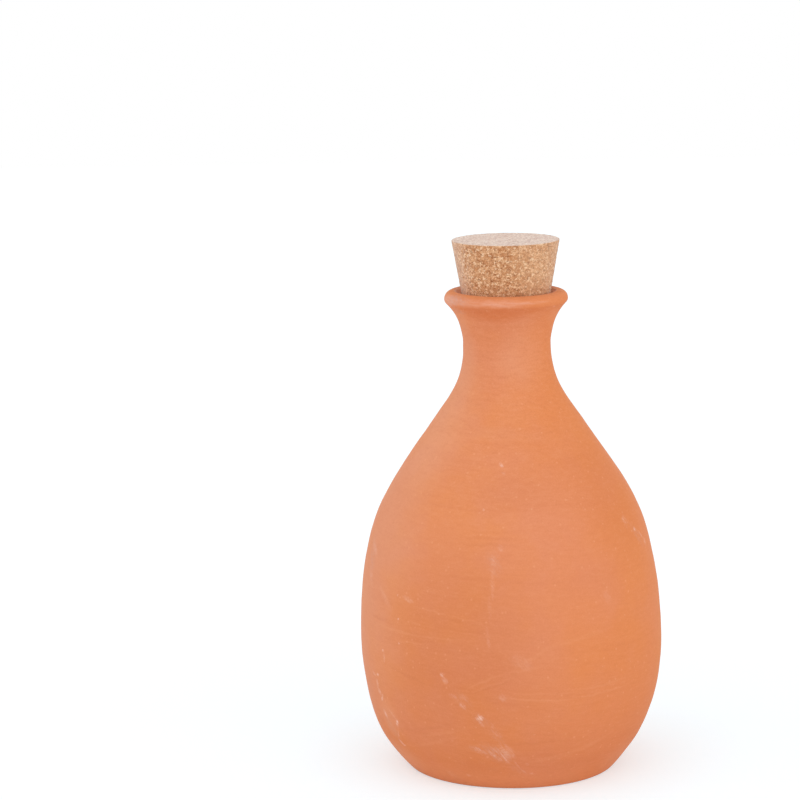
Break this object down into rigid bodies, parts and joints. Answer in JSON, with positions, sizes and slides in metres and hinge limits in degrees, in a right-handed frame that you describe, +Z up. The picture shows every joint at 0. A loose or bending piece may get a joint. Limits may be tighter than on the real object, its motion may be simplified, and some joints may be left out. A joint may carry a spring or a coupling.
{
  "type": "irrigation olla",
  "caption": "Unglazed clay bottle with a round belly, a narrow neck and a rolled lip, closed by a tapered cork; buried to water plants.",
  "frame": {"origin": "centre of the flat foot, on the ground", "axes": "+Z up along the bottle's axis of turning, towards the stopper; the bottle is round, so X and Y are free"},
  "size_m": [0.142, 0.142, 0.249],
  "materials": {
    "terracotta": "matte",
    "cork": "matte"
  },
  "bodies": {
    "bottle": {"clay_bottle": "terracotta"},
    "stopper": {"cork_stopper": "cork"}
  },
  "joints": [
    {"name": "stopper_pull", "type": "slide", "parent": "bottle", "child": "stopper", "axis": [0, 0, 1], "range_m": [0, 0.07]}
  ]
}
